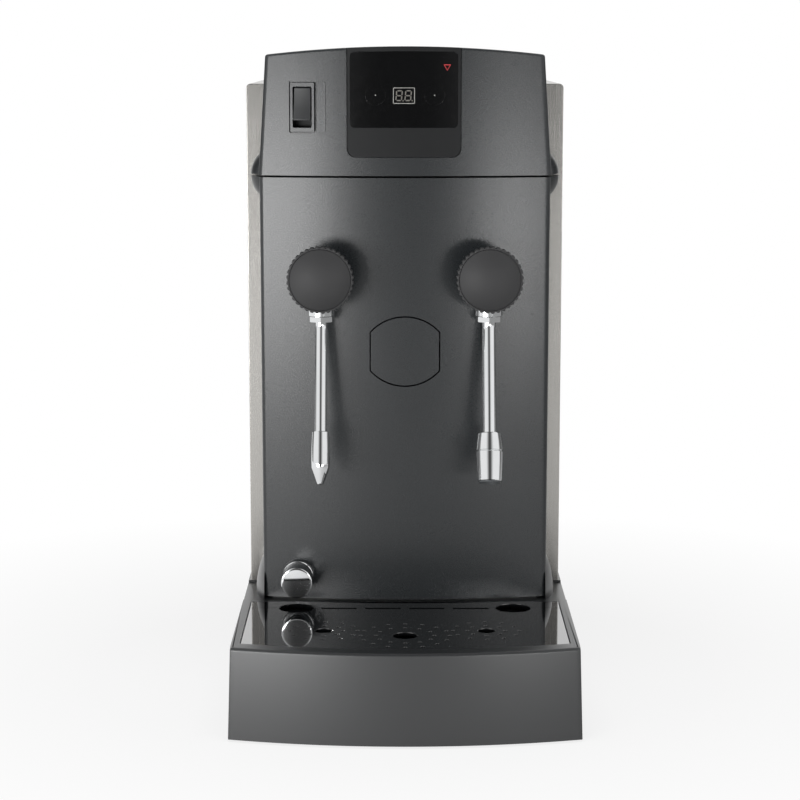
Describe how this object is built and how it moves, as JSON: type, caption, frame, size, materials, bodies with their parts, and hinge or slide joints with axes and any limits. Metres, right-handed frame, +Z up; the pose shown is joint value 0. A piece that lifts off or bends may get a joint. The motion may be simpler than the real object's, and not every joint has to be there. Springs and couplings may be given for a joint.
{
  "type": "hot water dispenser",
  "caption": "Countertop hot water and steam dispenser with a bowed front, knurled tap knobs, a steam wand, a water spout, a crowned control head and a pull-out drip tray.",
  "frame": {"origin": "bottom centre of the overall box, on the counter under the rubber feet", "axes": "+Z up, +X to the right seen from the front, the front with the tray faces -Y"},
  "size_m": [0.31, 0.5074, 0.6],
  "materials": {
    "housing": "moulded anthracite plastic, semi-gloss",
    "base": "moulded grey plastic, fine satin",
    "grid": "moulded black plastic, polished",
    "insert": "fine matte black plastic",
    "window": "gloss black window",
    "keys": "gloss black key caps",
    "lamp": "clear red light pipe",
    "switch": "black switch moulding",
    "legend": "matte grey strip",
    "knob": "soft matte dark grey plastic",
    "chrome": "polished chrome plate",
    "casing_steel": "brushed stainless sheet",
    "inner_steel": "plain stainless",
    "brass": "turned brass",
    "copper": "copper pipe",
    "rubber": "black rubber",
    "seal": "red silicone rubber",
    "board": "green circuit board",
    "insulator": "white insulator",
    "black_nylon": "black nylon"
  },
  "bodies": {
    "housing": {"front_panel": "housing", "blanking_cap": "housing", "head_cover": "housing", "base_chassis": "base", "control_insert": "insert", "control_window": "window", "indicator_lamp": "lamp", "switch_housing": "switch", "switch_legend": "legend", "steam_valve": "chrome", "water_valve": "chrome", "steam_nut": "chrome", "water_nut": "chrome", "drain_stub": "chrome", "steel_casing": "casing_steel", "back_panel": "casing_steel", "casing_screws": "casing_steel", "boiler_tank": "inner_steel", "boiler_lid": "inner_steel", "boiler_stand": "inner_steel", "heating_element": "inner_steel", "inlet_fitting": "brass", "steam_locknut": "brass", "water_locknut": "brass", "steam_pipe": "copper", "water_pipe": "copper", "fill_pipe": "copper", "drain_pipe": "copper", "rubber_feet": "rubber", "display_module": "board", "control_board": "board", "level_probe": "insulator", "cable_gland": "black_nylon", "inlet_valve": "black_nylon", "safety_thermostat": "black_nylon"},
    "drip_tray": {"drip_tray": "base"},
    "drip_grid": {"drip_grid": "grid"},
    "left_button": {"left_button": "keys"},
    "right_button": {"right_button": "keys"},
    "switch_rocker": {"switch_rocker": "switch"},
    "steam_knob": {"steam_spindle": "inner_steel", "steam_knob_grip": "knob", "steam_knob_cap": "knob"},
    "steam_plug": {"steam_plug": "brass"},
    "steam_wand": {"steam_wand_tube": "chrome", "steam_wand_tip": "chrome"},
    "water_knob": {"water_spindle": "inner_steel", "water_knob_grip": "knob", "water_knob_cap": "knob"},
    "water_plug": {"water_plug": "brass"},
    "water_spout": {"water_spout_tube": "chrome", "water_nozzle": "chrome", "water_aerator": "black_nylon"},
    "drain_seal": {"drain_seal": "seal"},
    "drain_cap": {"drain_cap": "chrome"}
  },
  "joints": [
    {"name": "tray_pull", "type": "slide", "parent": "housing", "child": "drip_tray", "axis": [0, -1, 0], "range_m": [0, 0.18]},
    {"name": "grid_lift", "type": "slide", "parent": "drip_tray", "child": "drip_grid", "axis": [0, 0, 1], "range_m": [0, 0.06]},
    {"name": "rocker_tip", "type": "hinge", "parent": "housing", "child": "switch_rocker", "pos_m": [-0.09357, -0.04924, 0.545], "axis": [0.9895, -0.1448, 0], "range_deg": [0, 20]},
    {"name": "left_button_press", "type": "slide", "parent": "housing", "child": "left_button", "axis": [0, 1, 0], "range_m": [0, 0.001], "stiffness_N_per_m": 600},
    {"name": "right_button_press", "type": "slide", "parent": "housing", "child": "right_button", "axis": [0, 1, 0], "range_m": [0, 0.001], "stiffness_N_per_m": 600},
    {"name": "steam_knob_turn", "type": "hinge", "parent": "housing", "child": "steam_knob", "pos_m": [-0.077, -0.09675, 0.391], "axis": [0, -1, 0], "range_deg": [0, 300]},
    {"name": "steam_plug_lift", "type": "slide", "parent": "housing", "child": "steam_plug", "axis": [0, -1, 0], "range_m": [0, 0.002]},
    {"name": "steam_wand_swivel", "type": "hinge", "parent": "housing", "child": "steam_wand", "pos_m": [-0.077, -0.07575, 0.3555], "axis": [0, 0, 1], "range_deg": [-60, 60]},
    {"name": "water_knob_turn", "type": "hinge", "parent": "housing", "child": "water_knob", "pos_m": [0.077, -0.09675, 0.391], "axis": [0, -1, 0], "range_deg": [0, 300]},
    {"name": "water_plug_lift", "type": "slide", "parent": "housing", "child": "water_plug", "axis": [0, -1, 0], "range_m": [0, 0.002]},
    {"name": "water_spout_swivel", "type": "hinge", "parent": "housing", "child": "water_spout", "pos_m": [0.077, -0.07575, 0.3555], "axis": [0, 0, 1], "range_deg": [-60, 60]},
    {"name": "drain_back_off", "type": "slide", "parent": "housing", "child": "drain_seal", "axis": [0, -1, 0], "range_m": [0, 0.0082]},
    {"name": "drain_cap_turn", "type": "hinge", "parent": "drain_seal", "child": "drain_cap", "pos_m": [-0.101, -0.06133, 0.106], "axis": [0, -1, 0], "range_deg": [0, 1440]}
  ],
  "couplings": [
    {"joint": "steam_plug_lift", "follows": "steam_knob_turn", "m_per_rad": 0.00038006},
    {"joint": "water_plug_lift", "follows": "water_knob_turn", "m_per_rad": 0.00038006},
    {"joint": "drain_back_off", "follows": "drain_cap_turn", "m_per_rad": 0.00031791}
  ]
}
